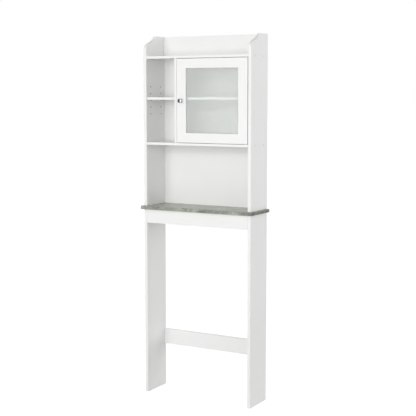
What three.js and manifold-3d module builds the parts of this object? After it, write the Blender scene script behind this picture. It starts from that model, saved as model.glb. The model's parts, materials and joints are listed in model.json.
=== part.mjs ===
// Over-the-toilet storage rack: a tall white flat-pack cabinet on two leg panels.
//
// Units are millimetres, +Z is up. The origin is on the floor, at the middle of the whole
// rack's width and depth, its door knob included. The front of the rack faces -Y, its rear
// faces +Y, and +X is to the right of a person who stands in front of it.

import * as THREE from 'three';
import { ConvexGeometry } from 'three/addons/geometries/ConvexGeometry.js';
import { mergeVertices } from 'three/addons/utils/BufferGeometryUtils.js';
import Module from 'manifold-3d';

// ---------------------------------------------------------------- driving dimensions

const cabinetWidth = 570;
const cabinetDepth = 166;
const overallHeight = 1714;

const panelThickness = 15; // side panels, leg panels, apron and crossbar
const boardThickness = 12; // shelves and divider
const guardThickness = 9;
const backThickness = 3;

const countertopTop = 911.5;
const countertopThickness = 16;
const countertopSideOverhang = 12.5;
const countertopFrontOverhang = 15;

const middleShelfBottom = 1202.5;
const topShelfTop = 1617.5;
const dividerX = -109.5; // middle of the divider's thickness

const apronHeight = 65.5;
const crossbarHeight = 75;
const crossbarBottom = 210.5;
const crossbarInset = 1; // from the rear edge of the legs

const ogeeDepth = 87; // from the front edge to where the curve meets the top
const ogeeHeight = 65;

const doorThickness = 15;
const doorHingeGap = 3.3; // between the door and the side panel that it hangs on
const doorLatchGap = 1.2; // between the door and the divider
const doorEndGap = 2.2; // between the door and the shelves above and below it
const doorStileWidth = 48;
const doorRailWidth = 45;
const doorLip = 9; // frame in front of the glass
const doorRebate = 8; // how far the rebate runs under the lip
const glassThickness = 3;
const knobDiameter = 22;
const knobProjection = 21;

const shelfPinHoleDiameter = 5;
const shelfPinPitch = 32;
const shelfPinSetback = 38; // from the front and rear edges of the side panels
const shelfPinHoleDepth = 9;

const glideHeight = 3;
const glideDiameter = 13;

const edgeBreak = 0.8; // chamfer on the painted edges
const fitGap = 0.3; // between pieces that touch
const roundSides = 20; // sides of a visible round section
const hiddenSides = 12; // sides of a bore or of a fastener inside a board

// ---------------------------------------------------------------- derived places

// The knob stands out further than the countertop, so it is the front of the whole rack.
const rearY = (cabinetDepth + fitGap + knobProjection) / 2;
const frontY = rearY - cabinetDepth;
const middleY = (frontY + rearY) / 2;
const innerX = cabinetWidth / 2 - panelThickness; // inner face of side and leg panels
const panelX = cabinetWidth / 2 - panelThickness / 2; // middle of a side or leg panel
const countertopBottom = countertopTop - countertopThickness;
const middleShelfTop = middleShelfBottom + boardThickness;
const topShelfBottom = topShelfTop - boardThickness;
const dividerLeft = dividerX - boardThickness / 2;
const dividerRight = dividerX + boardThickness / 2;

const backRebateDepth = backThickness + 0.5;
const backRebateWidth = 5;
const backFrontY = rearY - backRebateDepth; // front face of the rebate for the back panel

const doorLeft = dividerRight + doorLatchGap;
const doorRight = innerX - doorHingeGap;
const doorBottom = middleShelfTop + doorEndGap;
const doorTop = topShelfBottom - doorEndGap;
const doorBackY = frontY + doorThickness;

const hinge = { x: doorRight - 10, y: frontY + 6 };
const hingePinDiameter = 5;

const shelfPinMiddleZ = 1411.3; // the pin row that carries the shelves
const shelfPinRows = [-2, -1, 0, 1, 2].map((step) => shelfPinMiddleZ + step * shelfPinPitch);
const shelfPinColumns = [frontY + shelfPinSetback, rearY - shelfPinSetback];
const shelfBottom = shelfPinMiddleZ + shelfPinHoleDiameter / 2 + 0.2;
const shelfEndGap = 1.5;
const shelfDoorGap = 5; // clear of the door's rear corner as it turns on its hinge

const camDiscDiameter = 15;
const camInset = 25; // from the board's end to the disc's axis
const camBoltDiameter = 6;
const camBoltReach = 10; // into the side or leg panel

// A cam fitting joins each end of these boards to the panel beside it. Its disc lies in the
// face that open points out of, at y and z, and its bolt runs in the middle of the board.
const camFittings = [
  {
    board: 'crossbar',
    y: rearY - crossbarInset,
    z: crossbarBottom + crossbarHeight / 2,
    open: [0, 1, 0],
    thickness: panelThickness,
  },
  {
    board: 'middle_shelf',
    y: middleY,
    z: middleShelfBottom,
    open: [0, 0, -1],
    thickness: boardThickness,
  },
  {
    board: 'top_shelf',
    y: middleY,
    z: topShelfBottom,
    open: [0, 0, -1],
    thickness: boardThickness,
  },
];

// The apron and the guard board are held at each end by a dowel in the same way.
const endDowels = [
  {
    board: 'apron',
    y: frontY + panelThickness / 2,
    z: countertopBottom - apronHeight / 2,
    diameter: 8,
  },
  {
    board: 'guard',
    y: rearY - guardThickness / 2,
    z: (topShelfTop + overallHeight) / 2,
    diameter: 5,
  },
];
const endDowelInBoard = 20;
const endDowelInPanel = 10;

const catchLength = 40;
const catchProjection = 12;
const catchDepth = 14;
const catchZ = doorTop - 40;
const catchFrontY = doorBackY + 2.5;
const catchFace = dividerRight + fitGap;
const catchScrewZ = [-12, 12].map((offset) => catchZ + offset);
const strikeX = catchFace + catchProjection / 2 + 1;
const strikeThickness = 1;
const smallScrewShank = 3;
const catchScrewDepth = 8; // into the divider
const strikeScrewDepth = 10; // into the door

const dowelDiameter = 8;
const dowelDepth = 17; // into the panel on each side of the countertop
const dowelSetback = 32; // from the front and rear edges
const glideSetback = 20;

const sides = [
  { name: 'left', sign: -1 },
  { name: 'right', sign: 1 },
];
const columns = [
  { name: 'front', dowelY: frontY + dowelSetback, glideY: frontY + glideSetback },
  { name: 'rear', dowelY: rearY - dowelSetback, glideY: rearY - glideSetback },
];

// ---------------------------------------------------------------- materials

const paint = new THREE.MeshStandardMaterial({ color: 0xf4f4f2, roughness: 0.45 });
const hardboard = new THREE.MeshStandardMaterial({ color: 0xf0f0ee, roughness: 0.6 });
const stone = new THREE.MeshStandardMaterial({ color: 0x9aa098, roughness: 0.35 });
const frostedGlass = new THREE.MeshStandardMaterial({ color: 0xc8cec8, roughness: 0.6 });
const chrome = new THREE.MeshStandardMaterial({ color: 0xbdb8b0, roughness: 0.12, metalness: 1 });
const steel = new THREE.MeshStandardMaterial({ color: 0xb4b4b0, roughness: 0.35, metalness: 1 });
const zinc = new THREE.MeshStandardMaterial({ color: 0xa8a8a4, roughness: 0.45, metalness: 1 });
const nylon = new THREE.MeshStandardMaterial({ color: 0xe8e8e4, roughness: 0.5 });
const magnetCase = new THREE.MeshStandardMaterial({ color: 0xe6e4de, roughness: 0.5 });
const beech = new THREE.MeshStandardMaterial({ color: 0xd9b98a, roughness: 0.7 });

// ---------------------------------------------------------------- geometry helpers

const wasm = await Module();
wasm.setup();

// Leaves a geometry with nothing but position, its shared corners merged.
function weld(geometry) {
  geometry.deleteAttribute('normal');
  geometry.deleteAttribute('uv');
  return mergeVertices(geometry, 1e-4);
}

function toSolid(geometry) {
  const welded = weld(geometry);
  return new wasm.Manifold(new wasm.Mesh({
    numProp: 3,
    vertProperties: new Float32Array(welded.attributes.position.array),
    triVerts: new Uint32Array(welded.index.array),
  }));
}

function toGeometry(solid) {
  const mesh = solid.getMesh();
  const geometry = new THREE.BufferGeometry();
  geometry.setAttribute('position', new THREE.BufferAttribute(mesh.vertProperties, 3));
  geometry.setIndex(new THREE.BufferAttribute(mesh.triVerts, 1));
  geometry.computeVertexNormals();
  return geometry;
}

// Cuts every tool out of a body. All of them are geometries in the same place.
function cut(body, tools) {
  let solid = toSolid(body);
  for (const tool of tools) {
    solid = solid.subtract(toSolid(tool));
  }
  return toGeometry(solid);
}

// A box between two corners whose edges are all broken by a small chamfer.
function board(low, high, chamfer = edgeBreak) {
  const middle = low.map((value, axis) => (value + high[axis]) / 2);
  const half = low.map((value, axis) => (high[axis] - value) / 2);
  const points = [];
  for (const faceAxis of [0, 1, 2]) {
    for (const sx of [-1, 1]) {
      for (const sy of [-1, 1]) {
        for (const sz of [-1, 1]) {
          const signs = [sx, sy, sz];
          const corner = signs.map((sign, axis) => {
            const reach = half[axis] - (axis === faceAxis ? 0 : chamfer);
            return middle[axis] + sign * reach;
          });
          points.push(new THREE.Vector3(...corner));
        }
      }
    }
  }
  return new ConvexGeometry(points);
}

// A plain box between two corners, used to cut.
function block(low, high) {
  const size = low.map((value, axis) => high[axis] - value);
  const geometry = new THREE.BoxGeometry(...size);
  return geometry.translate(...low.map((value, axis) => (value + high[axis]) / 2));
}

// Turns a geometry built along +Z so that it points along the given axis.
function aim(geometry, axis) {
  const turn = new THREE.Quaternion();
  turn.setFromUnitVectors(new THREE.Vector3(0, 0, 1), new THREE.Vector3(...axis));
  return geometry.applyQuaternion(turn);
}

// A body of revolution about its own +Z, from [radius, height] points in order from the
// bottom of the axis to the top, aimed along axis and moved to place.
function turned(profile, axis, place, count = roundSides) {
  const points = profile.map(([radius, height]) => new THREE.Vector2(radius, height));
  const geometry = new THREE.LatheGeometry(points, count);
  geometry.rotateX(Math.PI / 2);
  return aim(geometry, axis).translate(...place);
}

// A round bar along axis, starting at place.
function rod(diameter, length, axis, place, count = roundSides) {
  const radius = diameter / 2;
  return turned([[0, 0], [radius, 0], [radius, length], [0, length]], axis, place, count);
}

// Extrudes a shape drawn in (y, z) along +X, from x, with broken edges.
function extrudeAlongX(shape, x, thickness) {
  const geometry = new THREE.ExtrudeGeometry(shape, {
    depth: thickness - 2 * edgeBreak,
    bevelEnabled: true,
    bevelThickness: edgeBreak,
    bevelSize: edgeBreak,
    bevelOffset: -edgeBreak,
    bevelSegments: 1,
    curveSegments: 10,
  });
  geometry.applyMatrix4(new THREE.Matrix4().makeBasis(
    new THREE.Vector3(0, 1, 0),
    new THREE.Vector3(0, 0, 1),
    new THREE.Vector3(1, 0, 0),
  ));
  return geometry.translate(x + edgeBreak, 0, 0);
}

const rack = new THREE.Group();

function addPiece(name, geometry, material) {
  const mesh = new THREE.Mesh(geometry, material);
  mesh.name = name;
  rack.add(mesh);
}

// ---------------------------------------------------------------- side panels

// The outline of an upper side panel: an S-shaped corner leads from the front edge to the top.
function sidePanelOutline() {
  const bottom = countertopTop + fitGap;
  const curveFoot = overallHeight - ogeeHeight;
  const crossing = { y: frontY + 0.5 * ogeeDepth, z: curveFoot + 0.55 * ogeeHeight };
  const outline = new THREE.Shape();
  outline.moveTo(frontY, bottom);
  outline.lineTo(rearY, bottom);
  outline.lineTo(rearY, overallHeight);
  outline.lineTo(frontY + ogeeDepth, overallHeight);
  outline.bezierCurveTo(
    frontY + 0.87 * ogeeDepth, overallHeight - 0.23 * ogeeHeight,
    frontY + 0.69 * ogeeDepth, overallHeight - 0.37 * ogeeHeight,
    crossing.y, crossing.z,
  );
  outline.bezierCurveTo(
    frontY + 0.2 * ogeeDepth, curveFoot + 0.42 * ogeeHeight,
    frontY, curveFoot + 0.27 * ogeeHeight,
    frontY, curveFoot,
  );
  outline.closePath();
  return outline;
}

// The rebate along the inner rear edge that takes the edge of the back panel.
function backRebate(sign) {
  const near = sign * (innerX - 10);
  const far = sign * (innerX + backRebateWidth);
  return block(
    [Math.min(near, far), backFrontY, countertopTop - 10],
    [Math.max(near, far), rearY + 10, topShelfTop],
  );
}

function shelfPinHoles(sign) {
  return shelfPinRows.flatMap((z) => shelfPinColumns.map((y) => rod(
    shelfPinHoleDiameter + 2 * fitGap,
    shelfPinHoleDepth + 5,
    [sign, 0, 0],
    [sign * (innerX - 5), y, z],
    hiddenSides,
  )));
}

// The middle of a cam fitting's bolt, in the middle of its board's thickness.
function camBoltPlace(cam) {
  return {
    y: cam.y - cam.open[1] * cam.thickness / 2,
    z: cam.z - cam.open[2] * cam.thickness / 2,
  };
}

// A blind hole in the inner face of a side or leg panel.
function panelHole(sign, place, diameter, depth) {
  return rod(
    diameter + 2 * fitGap,
    depth + fitGap + 5,
    [sign, 0, 0],
    [sign * (innerX - 5), place.y, place.z],
    hiddenSides,
  );
}

// The holes for the bolts and dowels of the named boards in the panel beside them.
function panelHoles(sign, boards) {
  const bolts = camFittings
    .filter((cam) => boards.includes(cam.board))
    .map((cam) => panelHole(sign, camBoltPlace(cam), camBoltDiameter, camBoltReach));
  const dowels = endDowels
    .filter((dowel) => boards.includes(dowel.board))
    .map((dowel) => panelHole(sign, dowel, dowel.diameter, endDowelInPanel));
  return [...bolts, ...dowels];
}

function dowelHoles(sign, low, high) {
  return columns.map((column) => rod(
    dowelDiameter + 2 * fitGap,
    high - low,
    [0, 0, 1],
    [sign * panelX, column.dowelY, low],
    hiddenSides,
  ));
}

for (const side of sides) {
  const lowX = side.sign < 0 ? -cabinetWidth / 2 : innerX;
  const body = extrudeAlongX(sidePanelOutline(), lowX, panelThickness);
  const tools = [
    backRebate(side.sign),
    ...shelfPinHoles(side.sign),
    ...panelHoles(side.sign, ['middle_shelf', 'top_shelf', 'guard']),
    ...dowelHoles(side.sign, countertopTop - 5, countertopTop + dowelDepth + fitGap),
  ];
  addPiece(`side_panel_${side.name}`, cut(body, tools), paint);
}

// The two screws of the magnetic catch go through its case into the divider.
function catchScrewHoles() {
  return catchScrewZ.map((z) => rod(
    smallScrewShank + 2 * fitGap,
    catchScrewDepth + catchProjection + 10,
    [1, 0, 0],
    [dividerRight - catchScrewDepth - fitGap, catchFrontY + catchDepth / 2, z],
    hiddenSides,
  ));
}

// ---------------------------------------------------------------- fixed boards

// The hole for the barrel of a hinge bush. Its flange lies on the board's face.
const bushBarrelDiameter = 8;
const bushBarrelDepth = 9;
const bushFlangeDiameter = 10.5;
const bushFlangeThickness = 1.2;

function bushHole(z, direction) {
  return rod(
    bushBarrelDiameter + 2 * fitGap,
    bushBarrelDepth + fitGap + 5,
    [0, 0, direction],
    [hinge.x, hinge.y, z - direction * 5],
  );
}

// The bores for both ends of a board's cam fittings: each disc's pocket and bolt's channel.
function camBores(boardName) {
  const cam = camFittings.find((entry) => entry.board === boardName);
  const bolt = camBoltPlace(cam);
  return sides.flatMap(({ sign }) => {
    const discX = sign * (innerX - camInset);
    const mouth = [discX, cam.y + 5 * cam.open[1], cam.z + 5 * cam.open[2]];
    const pocketDepth = camDiscDepth(cam) + fitGap + 5;
    return [
      rod(camDiscDiameter + 2 * fitGap, pocketDepth, cam.open.map((part) => -part), mouth),
      rod(
        camBoltDiameter + 2 * fitGap,
        camInset + 5,
        [sign, 0, 0],
        [discX, bolt.y, bolt.z],
        hiddenSides,
      ),
    ];
  });
}

function camDiscDepth(cam) {
  return cam.thickness - 2.5;
}

addPiece('top_shelf', cut(
  board(
    [-innerX + fitGap, frontY, topShelfBottom],
    [innerX - fitGap, backFrontY - fitGap, topShelfTop],
  ),
  [bushHole(topShelfBottom, 1), ...camBores('top_shelf')],
), paint);

addPiece('middle_shelf', cut(
  board(
    [-innerX + fitGap, frontY, middleShelfBottom],
    [innerX - fitGap, backFrontY - fitGap, middleShelfTop],
  ),
  [bushHole(middleShelfTop, -1), ...camBores('middle_shelf')],
), paint);

addPiece('divider', cut(
  board(
    [dividerLeft, frontY, middleShelfTop + fitGap],
    [dividerRight, backFrontY - fitGap, topShelfBottom - fitGap],
  ),
  shelfPinRows.flatMap((z) => shelfPinColumns.map((y) => rod(
    shelfPinHoleDiameter + 2 * fitGap,
    boardThickness + 10,
    [1, 0, 0],
    [dividerLeft - 5, y, z],
    hiddenSides,
  ))).concat(catchScrewHoles()),
), paint);

addPiece('back_panel', board(
  [-innerX - backRebateWidth + fitGap, backFrontY, countertopTop + fitGap],
  [innerX + backRebateWidth - fitGap, backFrontY + backThickness, topShelfTop - fitGap],
  0.3,
), hardboard);

// The holes for the dowels in both ends of a board.
function endDowelHoles(boardName) {
  const dowel = endDowels.find((entry) => entry.board === boardName);
  return sides.map(({ sign }) => rod(
    dowel.diameter + 2 * fitGap,
    endDowelInBoard + fitGap + 5,
    [-sign, 0, 0],
    [sign * (innerX + 5), dowel.y, dowel.z],
    hiddenSides,
  ));
}

addPiece('guard_board', cut(
  board(
    [-innerX + fitGap, rearY - guardThickness, topShelfTop + fitGap],
    [innerX - fitGap, rearY, overallHeight - 1],
  ),
  endDowelHoles('guard'),
), paint);

// ---------------------------------------------------------------- adjustable shelves

const shelfTop = shelfBottom + boardThickness;
const shelfRear = backFrontY - 1;

addPiece('shelf_left', board(
  [-innerX + shelfEndGap, frontY + 3, shelfBottom],
  [dividerLeft - shelfEndGap, shelfRear, shelfTop],
), paint);

addPiece('shelf_right', board(
  [dividerRight + shelfEndGap, doorBackY + shelfDoorGap, shelfBottom],
  [innerX - shelfEndGap, shelfRear, shelfTop],
), paint);

// A shelf pin: a stem in the board's hole, a thin flange on its face and a short peg
// that carries the shelf. direction points from the board towards the shelf.
function shelfPin(x, y, direction, stem) {
  const radius = shelfPinHoleDiameter / 2;
  const flange = 1;
  const peg = 8;
  const profile = [
    [0, -stem], [radius - 0.5, -stem], [radius, -stem + 0.5], [radius, fitGap],
    [radius + 1.2, fitGap], [radius + 1.2, fitGap + flange], [radius, fitGap + flange],
    [radius, peg - 0.5], [radius - 0.5, peg], [0, peg],
  ];
  return turned(profile, [direction, 0, 0], [x, y, shelfPinMiddleZ], hiddenSides);
}

const pinSupports = [
  { name: 'left_outer', x: -innerX, direction: 1, stem: shelfPinHoleDepth - 0.5 },
  { name: 'left_inner', x: dividerLeft, direction: -1, stem: boardThickness / 2 - 0.5 },
  { name: 'right_inner', x: dividerRight, direction: 1, stem: boardThickness / 2 - 0.5 },
  { name: 'right_outer', x: innerX, direction: -1, stem: shelfPinHoleDepth - 0.5 },
];
for (const support of pinSupports) {
  shelfPinColumns.forEach((y, index) => {
    const pin = shelfPin(support.x, y, support.direction, support.stem);
    addPiece(`shelf_pin_${support.name}_${columns[index].name}`, pin, zinc);
  });
}

// ---------------------------------------------------------------- door

const openingLeft = doorLeft + doorStileWidth;
const openingRight = doorRight - doorStileWidth;
const openingBottom = doorBottom + doorRailWidth;
const openingTop = doorTop - doorRailWidth;
const knobCentre = { x: doorLeft + doorStileWidth / 2, z: (doorBottom + doorTop) / 2 };
const knobScrewDiameter = 4;
const hingePinInDoor = 22;

// A funnel that breaks the front edge of the door's opening.
function openingChamfer(width) {
  const outer = frontY - 1;
  const inner = frontY + width;
  const points = [];
  for (const [y, grow] of [[outer, width + 1], [inner, 0]]) {
    for (const x of [openingLeft - grow, openingRight + grow]) {
      for (const z of [openingBottom - grow, openingTop + grow]) {
        points.push(new THREE.Vector3(x, y, z));
      }
    }
  }
  return new ConvexGeometry(points);
}

function hingePinHole(z, direction) {
  return rod(
    hingePinDiameter + 2 * fitGap,
    hingePinInDoor + fitGap + 5,
    [0, 0, direction],
    [hinge.x, hinge.y, z - direction * 5],
  );
}

addPiece('door_frame', cut(
  board([doorLeft, frontY, doorBottom], [doorRight, doorBackY, doorTop]),
  [
    block(
      [openingLeft, frontY - 5, openingBottom],
      [openingRight, doorBackY + 5, openingTop],
    ),
    block(
      [openingLeft - doorRebate, frontY + doorLip, openingBottom - doorRebate],
      [openingRight + doorRebate, doorBackY + 5, openingTop + doorRebate],
    ),
    openingChamfer(2.5),
    hingePinHole(doorTop, -1),
    hingePinHole(doorBottom, 1),
    rod(
      knobScrewDiameter + 2 * fitGap,
      doorThickness + 10,
      [0, 1, 0],
      [knobCentre.x, frontY - 5, knobCentre.z],
      hiddenSides,
    ),
    rod(
      smallScrewShank + 2 * fitGap,
      strikeScrewDepth + fitGap + 5,
      [0, -1, 0],
      [strikeX, doorBackY + 5, catchZ],
      hiddenSides,
    ),
  ],
), paint);

const glassFrontY = frontY + doorLip + fitGap;
const glassBackY = glassFrontY + glassThickness;
const glassInset = 1; // clearance round the pane in its rebate

addPiece('glass_pane', board(
  [
    openingLeft - doorRebate + glassInset,
    glassFrontY,
    openingBottom - doorRebate + glassInset,
  ],
  [
    openingRight + doorRebate - glassInset,
    glassBackY,
    openingTop + doorRebate - glassInset,
  ],
  0.5,
), frostedGlass);

// One soft glazing frame closes the rebate behind the pane.
addPiece('glazing_frame', cut(
  board(
    [
      openingLeft - doorRebate + fitGap,
      glassBackY + fitGap,
      openingBottom - doorRebate + fitGap,
    ],
    [openingRight + doorRebate - fitGap, doorBackY, openingTop + doorRebate - fitGap],
    0.6,
  ),
  [block([openingLeft, glassBackY - 5, openingBottom], [openingRight, doorBackY + 5, openingTop])],
), nylon);

// The knob: a foot on the door, a waist and a round head with a soft edge, bored from the
// foot for its screw.
const knobBore = 12;
const knobBoreRadius = knobScrewDiameter / 2 + fitGap;
const knobRadius = knobDiameter / 2;
const knobProfile = [
  [0, knobBore], [knobBoreRadius, knobBore], [knobBoreRadius, 0], [7, 0], [7, 1.5],
  [5, 3.2], [4.4, 5.5], [4.8, 8], [7, 10], [knobRadius - 1, 12], [knobRadius, 14],
  [knobRadius, 16], [knobRadius - 1, 18.2], [knobRadius - 3, 19.8],
  [knobRadius - 6.5, 20.7], [0, knobProjection],
];
addPiece('door_knob', turned(
  knobProfile,
  [0, -1, 0],
  [knobCentre.x, frontY - fitGap, knobCentre.z],
), chrome);

addPiece('knob_screw', turned(
  [
    [0, 0], [3.2, 0], [4, 0.8], [4, 2], [knobScrewDiameter / 2, 2],
    [knobScrewDiameter / 2, 2 + doorThickness + 9], [0, 2 + doorThickness + 9],
  ],
  [0, -1, 0],
  [knobCentre.x, doorBackY + fitGap + 2, knobCentre.z],
  hiddenSides,
), zinc);

// ---------------------------------------------------------------- hinges

// Each pin is pressed into the end of the door's right stile and turns in a flanged bush
// that sits in the shelf above or below.
const hingeEnds = [
  { name: 'top', doorZ: doorTop, shelfZ: topShelfBottom, direction: 1 },
  { name: 'bottom', doorZ: doorBottom, shelfZ: middleShelfTop, direction: -1 },
];
for (const end of hingeEnds) {
  const reach = Math.abs(end.shelfZ - end.doorZ) + bushBarrelDepth - 1;
  addPiece(`hinge_pin_${end.name}`, rod(
    hingePinDiameter,
    hingePinInDoor + reach,
    [0, 0, end.direction],
    [hinge.x, hinge.y, end.doorZ - end.direction * hingePinInDoor],
  ), steel);

  const bore = hingePinDiameter / 2 + fitGap;
  const barrel = bushBarrelDiameter / 2;
  const flange = bushFlangeDiameter / 2;
  const flangeEdge = -fitGap - bushFlangeThickness;
  addPiece(`hinge_bush_${end.name}`, turned(
    [
      [bore, flangeEdge], [flange, flangeEdge], [flange, -fitGap], [barrel, -fitGap],
      [barrel, bushBarrelDepth], [bore, bushBarrelDepth], [bore, flangeEdge],
    ],
    [0, 0, end.direction],
    [hinge.x, hinge.y, end.shelfZ],
  ), nylon);
}

// ---------------------------------------------------------------- magnetic catch

addPiece('magnetic_catch', cut(
  board(
    [catchFace, catchFrontY, catchZ - catchLength / 2],
    [catchFace + catchProjection, catchFrontY + catchDepth, catchZ + catchLength / 2],
    1,
  ),
  catchScrewHoles(),
), magnetCase);

// A pan-head screw whose head rests on a face; direction points from the face outwards.
function panScrew(length, direction, place) {
  const radius = smallScrewShank / 2;
  return turned(
    [
      [0, -length], [radius * 0.3, -length], [radius, -length + 3], [radius, fitGap],
      [radius * 1.9, fitGap], [radius * 1.9, fitGap + 1], [radius * 1.4, fitGap + 2],
      [0, fitGap + 2.2],
    ],
    direction,
    place,
    hiddenSides,
  );
}

['lower', 'upper'].forEach((name, index) => {
  addPiece(`catch_screw_${name}`, panScrew(catchProjection + catchScrewDepth, [1, 0, 0], [
    catchFace + catchProjection,
    catchFrontY + catchDepth / 2,
    catchScrewZ[index],
  ]), zinc);
});

const strikeFace = doorBackY + fitGap + strikeThickness;

addPiece('strike_plate', cut(
  board(
    [strikeX - 6, doorBackY + fitGap, catchZ - 18],
    [strikeX + 6, strikeFace, catchZ + 18],
    0.2,
  ),
  [rod(smallScrewShank + 2 * fitGap, 10, [0, 1, 0], [strikeX, doorBackY - 5, catchZ], hiddenSides)],
), steel);

addPiece('strike_screw', turned(
  [
    [0, -strikeScrewDepth], [0.5, -strikeScrewDepth], [1.5, 3 - strikeScrewDepth],
    [1.5, fitGap], [2.6, fitGap], [2.2, fitGap + 0.7], [0, fitGap + 0.8],
  ],
  [0, 1, 0],
  [strikeX, strikeFace, catchZ],
  hiddenSides,
), zinc);

// ---------------------------------------------------------------- countertop

// A slab with small round corners at the front and softly rounded edges all round.
function countertopSlab() {
  const corner = 4;
  const edge = 2.4;
  const right = cabinetWidth / 2 + countertopSideOverhang;
  const front = frontY - countertopFrontOverhang;
  const outline = new THREE.Shape();
  outline.moveTo(corner - right, front);
  outline.lineTo(right - corner, front);
  outline.absarc(right - corner, front + corner, corner, -Math.PI / 2, 0);
  outline.lineTo(right, rearY);
  outline.lineTo(-right, rearY);
  outline.lineTo(-right, front + corner);
  outline.absarc(corner - right, front + corner, corner, Math.PI, 1.5 * Math.PI);
  const slab = new THREE.ExtrudeGeometry(outline, {
    depth: countertopThickness - 2 * edge,
    bevelEnabled: true,
    bevelThickness: edge,
    bevelSize: edge,
    bevelOffset: -edge,
    bevelSegments: 3,
    curveSegments: 4,
  });
  return slab.translate(0, 0, countertopBottom + edge);
}

addPiece('countertop', cut(
  countertopSlab(),
  sides.flatMap((side) => dowelHoles(side.sign, countertopBottom - 5, countertopTop + 5)),
), stone);

// ---------------------------------------------------------------- base

const legTop = countertopBottom - fitGap;

// A wooden dowel with broken ends, from place along axis.
function dowelPin(diameter, length, axis, place) {
  const radius = diameter / 2;
  const profile = [
    [0, 0], [radius - 1, 0], [radius, 1], [radius, length - 1], [radius - 1, length],
    [0, length],
  ];
  return turned(profile, axis, place, hiddenSides);
}

for (const side of sides) {
  const lowX = side.sign < 0 ? -cabinetWidth / 2 : innerX;
  const nailHoles = columns.map((column) => rod(
    3 + 2 * fitGap,
    14,
    [0, 0, 1],
    [side.sign * panelX, column.glideY, glideHeight - 1],
    12,
  ));
  addPiece(`leg_panel_${side.name}`, cut(
    board([lowX, frontY, glideHeight], [lowX + panelThickness, rearY, legTop]),
    [
      ...panelHoles(side.sign, ['crossbar', 'apron']),
      ...dowelHoles(side.sign, countertopBottom - dowelDepth - fitGap, countertopBottom + 5),
      ...nailHoles,
    ],
  ), paint);

  for (const column of columns) {
    const place = [side.sign * panelX, column.glideY, 0];
    addPiece(`glide_${side.name}_${column.name}`, turned(
      [
        [0, 0], [glideDiameter / 2 - 1.2, 0], [glideDiameter / 2, 0.8],
        [glideDiameter / 2, glideHeight - fitGap], [1.5, glideHeight - fitGap],
        [1.5, glideHeight + 10], [0, glideHeight + 12],
      ],
      [0, 0, 1],
      place,
    ), nylon);

    addPiece(`countertop_dowel_${side.name}_${column.name}`, dowelPin(
      dowelDiameter,
      countertopThickness + 2 * dowelDepth,
      [0, 0, 1],
      [side.sign * panelX, column.dowelY, countertopBottom - dowelDepth],
    ), beech);
  }
}

addPiece('apron', cut(
  board(
    [-innerX + fitGap, frontY, countertopBottom - apronHeight],
    [innerX - fitGap, frontY + panelThickness, countertopBottom - fitGap],
  ),
  endDowelHoles('apron'),
), paint);

addPiece('crossbar', cut(
  board(
    [-innerX + fitGap, rearY - crossbarInset - panelThickness, crossbarBottom],
    [innerX - fitGap, rearY - crossbarInset, crossbarBottom + crossbarHeight],
  ),
  camBores('crossbar'),
), paint);

// ---------------------------------------------------------------- fittings in the boards' ends

// The disc lies just under its board's face. A pocket in its rim takes the bolt's head and
// a cross slot takes a screwdriver.
function camDisc(cam, sign) {
  const sink = 0.2;
  const face = [sign * (innerX - camInset), cam.y - sink * cam.open[1], cam.z - sink * cam.open[2]];
  const bolt = camBoltPlace(cam);
  const slots = [[9, 1.6], [1.6, 9]].map(([width, height]) => (
    aim(new THREE.BoxGeometry(width, height, 5), cam.open).translate(...face)
  ));
  return cut(
    rod(camDiscDiameter, camDiscDepth(cam) - sink, cam.open.map((part) => -part), face),
    [
      rod(camBoltDiameter + 2 * fitGap, 20, [sign, 0, 0], [face[0], bolt.y, bolt.z], hiddenSides),
      ...slots,
    ],
  );
}

// The bolt runs from the disc's pocket, through the end of the board, into the panel.
function camBolt(cam, sign) {
  const radius = camBoltDiameter / 2;
  const start = 1;
  const end = camInset + camBoltReach;
  const bolt = camBoltPlace(cam);
  return turned(
    [
      [0, start], [radius - 0.4, start], [radius, start + 0.5], [radius, start + 2.5],
      [radius * 0.55, start + 3.2], [radius * 0.55, start + 6], [radius, start + 6.8],
      [radius, end - 0.6], [radius - 0.6, end], [0, end],
    ],
    [sign, 0, 0],
    [sign * (innerX - camInset), bolt.y, bolt.z],
    hiddenSides,
  );
}

for (const side of sides) {
  for (const cam of camFittings) {
    addPiece(`cam_disc_${cam.board}_${side.name}`, camDisc(cam, side.sign), zinc);
    addPiece(`cam_bolt_${cam.board}_${side.name}`, camBolt(cam, side.sign), steel);
  }
  for (const dowel of endDowels) {
    addPiece(`${dowel.board}_dowel_${side.name}`, dowelPin(
      dowel.diameter,
      endDowelInBoard + endDowelInPanel,
      [side.sign, 0, 0],
      [side.sign * (innerX - endDowelInBoard), dowel.y, dowel.z],
    ), beech);
  }
}

export default rack;
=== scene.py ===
"""Looks, floor, light and camera for the over-the-toilet storage rack.

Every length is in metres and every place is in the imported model's frame: +Z is up, the
front of the rack faces -Y and the origin is on the floor under the middle of the rack.
"""
import json
import math

import bmesh
import bpy
from mathutils import Matrix, Vector


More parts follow.
